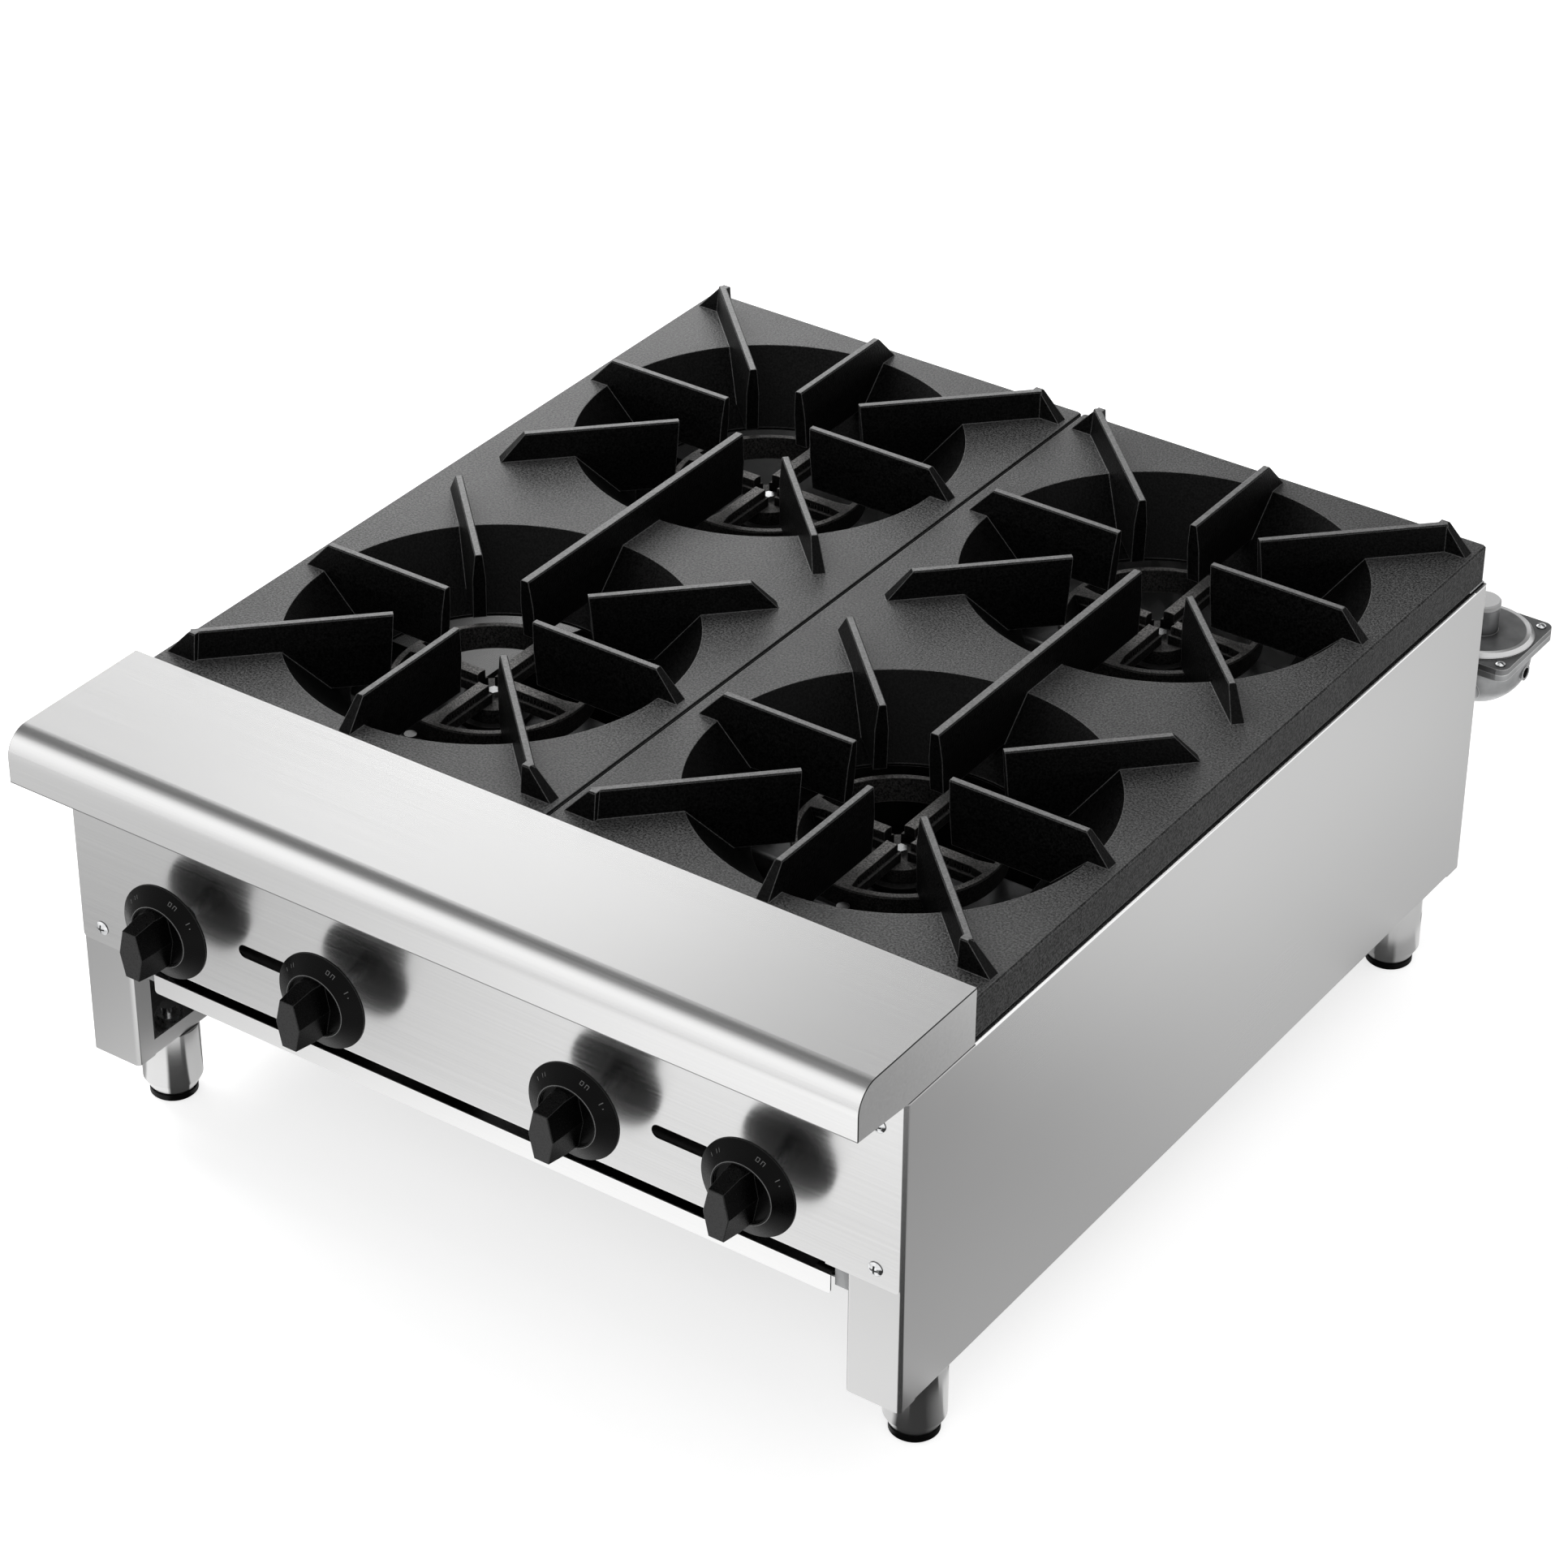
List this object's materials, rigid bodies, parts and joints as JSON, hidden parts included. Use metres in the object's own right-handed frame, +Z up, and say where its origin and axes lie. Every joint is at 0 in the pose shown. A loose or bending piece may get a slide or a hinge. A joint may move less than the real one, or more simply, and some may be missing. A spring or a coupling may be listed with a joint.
{
  "type": "countertop gas range",
  "caption": "Countertop gas range with open burners, cast grates, a rounded front ledge, turning knobs, a sliding drip tray and adjustable feet.",
  "frame": {"origin": "middle of the whole range's outline in plan, on the floor under the feet", "axes": "+X to the right seen from the front, +Y to the back, +Z up"},
  "size_m": [0.6096, 0.8454, 0.3215],
  "materials": {
    "stainless": "brushed",
    "galvanised": "satin",
    "cast_iron_grate": "matte, slightly rough",
    "cast_iron_burner": "matte",
    "aluminised_tube": "satin",
    "zinc_steel": "bright",
    "brass": "satin",
    "pilot_steel": "satin",
    "black_pipe": "satin",
    "knob_plastic": "fine grain",
    "leg_steel": "satin",
    "foot_plastic": "matte",
    "die_cast": "as cast",
    "cap_plastic": "smooth"
  },
  "bodies": {
    "range_body": {"side_panel_left": "stainless", "side_panel_right": "stainless", "front_ledge": "stainless", "control_panel": "stainless", "panel_screws": "stainless", "rear_panel": "galvanised", "front_rail": "galvanised", "burner_bar_front": "galvanised", "burner_bar_rear": "galvanised", "tray_runner_left": "galvanised", "tray_runner_right": "galvanised", "manifold_hangers": "galvanised", "air_shutters": "galvanised", "burner_head_front_left": "cast_iron_burner", "burner_head_front_right": "cast_iron_burner", "burner_head_rear_left": "cast_iron_burner", "burner_head_rear_right": "cast_iron_burner", "mixing_tube_front_left": "aluminised_tube", "mixing_tube_front_right": "aluminised_tube", "mixing_tube_rear_left": "aluminised_tube", "mixing_tube_rear_right": "aluminised_tube", "burner_bolts": "zinc_steel", "leg_nuts": "zinc_steel", "regulator_screws": "zinc_steel", "valve_1": "brass", "valve_2": "brass", "valve_3": "brass", "valve_4": "brass", "orifice_hoods": "brass", "pilot_valves": "brass", "pilot_tubes": "pilot_steel", "pilot_tips": "pilot_steel", "gas_manifold": "black_pipe", "supply_pipe": "black_pipe", "supply_elbow": "black_pipe", "leg_front_left": "leg_steel", "leg_front_right": "leg_steel", "leg_rear_left": "leg_steel", "leg_rear_right": "leg_steel", "regulator_body": "die_cast", "regulator_cover": "die_cast", "regulator_cap": "cap_plastic"},
    "knob_1_body": {"knob_1": "knob_plastic", "valve_stem_1": "zinc_steel"},
    "knob_2_body": {"knob_2": "knob_plastic", "valve_stem_2": "zinc_steel"},
    "knob_3_body": {"knob_3": "knob_plastic", "valve_stem_3": "zinc_steel"},
    "knob_4_body": {"knob_4": "knob_plastic", "valve_stem_4": "zinc_steel"},
    "grate_left_body": {"grate_left": "cast_iron_grate"},
    "grate_right_body": {"grate_right": "cast_iron_grate"},
    "tray_body": {"drip_tray": "stainless"},
    "foot_front_left_body": {"foot_front_left": "foot_plastic"},
    "foot_front_right_body": {"foot_front_right": "foot_plastic"},
    "foot_rear_left_body": {"foot_rear_left": "foot_plastic"},
    "foot_rear_right_body": {"foot_rear_right": "foot_plastic"}
  },
  "joints": [
    {"name": "knob_1_turn", "type": "hinge", "parent": "range_body", "child": "knob_1_body", "pos_m": [-0.21455, -0.39025, 0.1905], "axis": [0, -1, 0], "range_deg": [0, 90]},
    {"name": "knob_2_turn", "type": "hinge", "parent": "range_body", "child": "knob_2_body", "pos_m": [-0.09285, -0.39025, 0.1905], "axis": [0, -1, 0], "range_deg": [0, 90]},
    {"name": "knob_3_turn", "type": "hinge", "parent": "range_body", "child": "knob_3_body", "pos_m": [0.09285, -0.39025, 0.1905], "axis": [0, -1, 0], "range_deg": [0, 90]},
    {"name": "knob_4_turn", "type": "hinge", "parent": "range_body", "child": "knob_4_body", "pos_m": [0.21455, -0.39025, 0.1905], "axis": [0, -1, 0], "range_deg": [0, 90]},
    {"name": "grate_left_lift", "type": "slide", "parent": "range_body", "child": "grate_left_body", "axis": [0, 0, 1], "range_m": [0, 0.15]},
    {"name": "grate_right_lift", "type": "slide", "parent": "range_body", "child": "grate_right_body", "axis": [0, 0, 1], "range_m": [0, 0.15]},
    {"name": "tray_slide", "type": "slide", "parent": "range_body", "child": "tray_body", "axis": [0, -1, 0], "range_m": [0, 0.45]},
    {"name": "foot_front_left_adjust", "type": "slide", "parent": "range_body", "child": "foot_front_left_body", "axis": [0, 0, -1], "range_m": [0, 0.025]},
    {"name": "foot_front_right_adjust", "type": "slide", "parent": "range_body", "child": "foot_front_right_body", "axis": [0, 0, -1], "range_m": [0, 0.025]},
    {"name": "foot_rear_left_adjust", "type": "slide", "parent": "range_body", "child": "foot_rear_left_body", "axis": [0, 0, -1], "range_m": [0, 0.025]},
    {"name": "foot_rear_right_adjust", "type": "slide", "parent": "range_body", "child": "foot_rear_right_body", "axis": [0, 0, -1], "range_m": [0, 0.025]}
  ]
}
